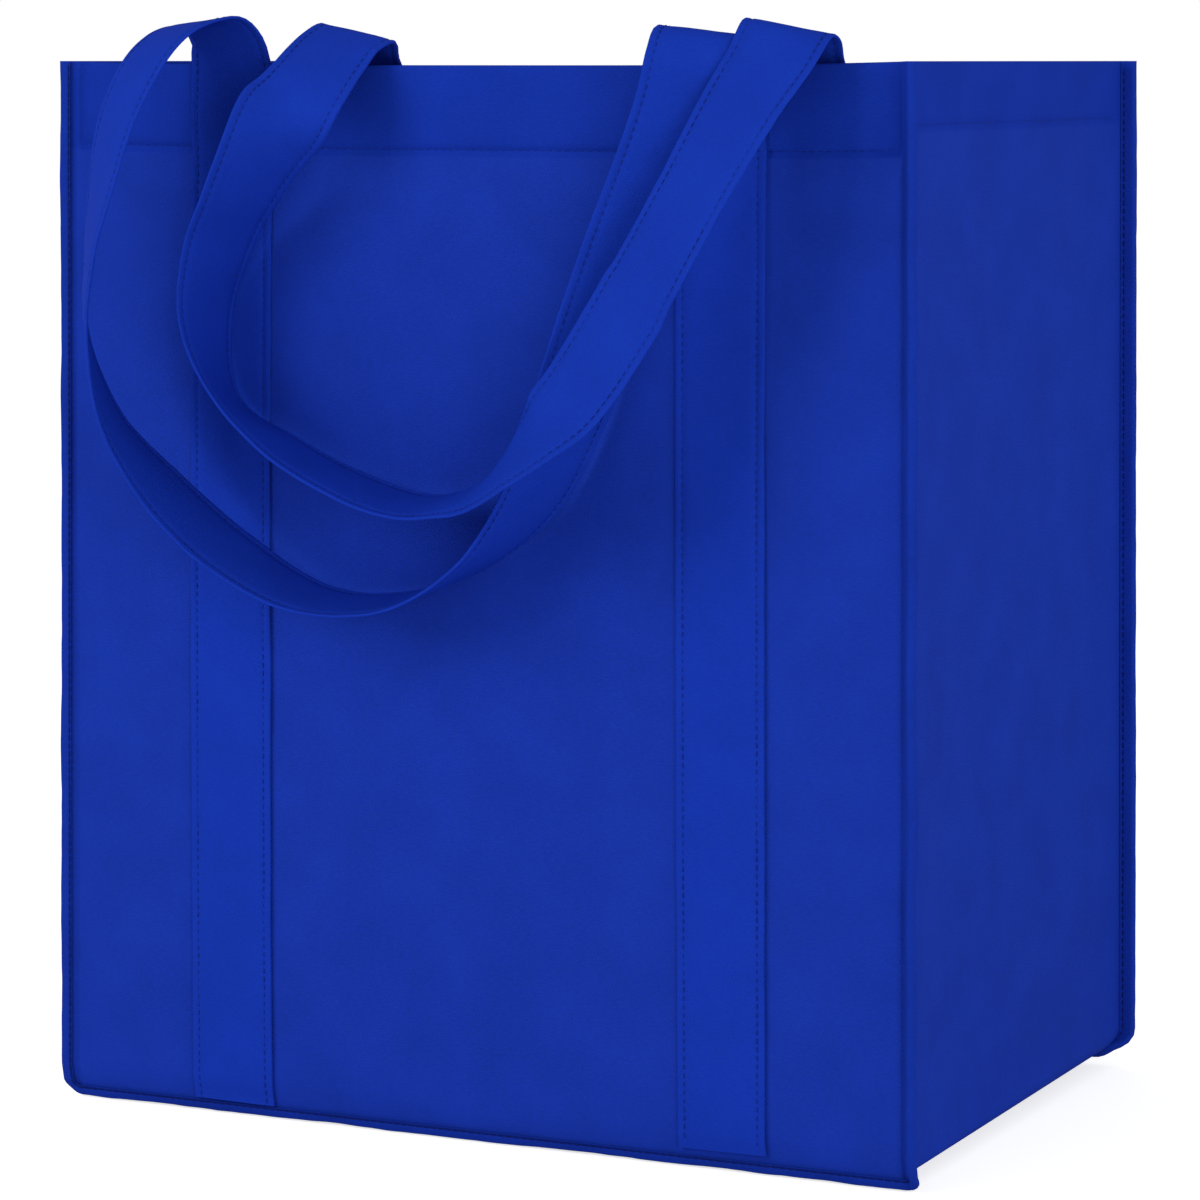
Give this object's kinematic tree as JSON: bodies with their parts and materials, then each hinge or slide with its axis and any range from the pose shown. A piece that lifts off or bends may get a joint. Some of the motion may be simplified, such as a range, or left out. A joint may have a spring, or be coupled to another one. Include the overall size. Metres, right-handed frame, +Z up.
{
  "type": "carrier bag",
  "caption": "Open boxy carrier bag of non-woven plastic cloth with a side gusset, bound seams, a bottom board and long sewn strap handles flopped over its front.",
  "frame": {"origin": "on the floor, under the middle of the bounding box, which the flopped handles carry 30 mm in front of the middle of the body", "axes": "+Z up, +X to the right as seen from the front, the front panel with the flopped handles faces -Y"},
  "size_m": [0.3414, 0.284, 0.3959],
  "materials": {
    "cloth": "matte spunbond with a fine embossed dot",
    "board": "smooth matte"
  },
  "bodies": {
    "root": {"front_panel": "cloth", "back_panel": "cloth", "gusset_band": "cloth", "front_binding": "cloth", "back_binding": "cloth", "front_strap": "cloth", "back_strap": "cloth", "bottom_board": "board"}
  },
  "joints": []
}
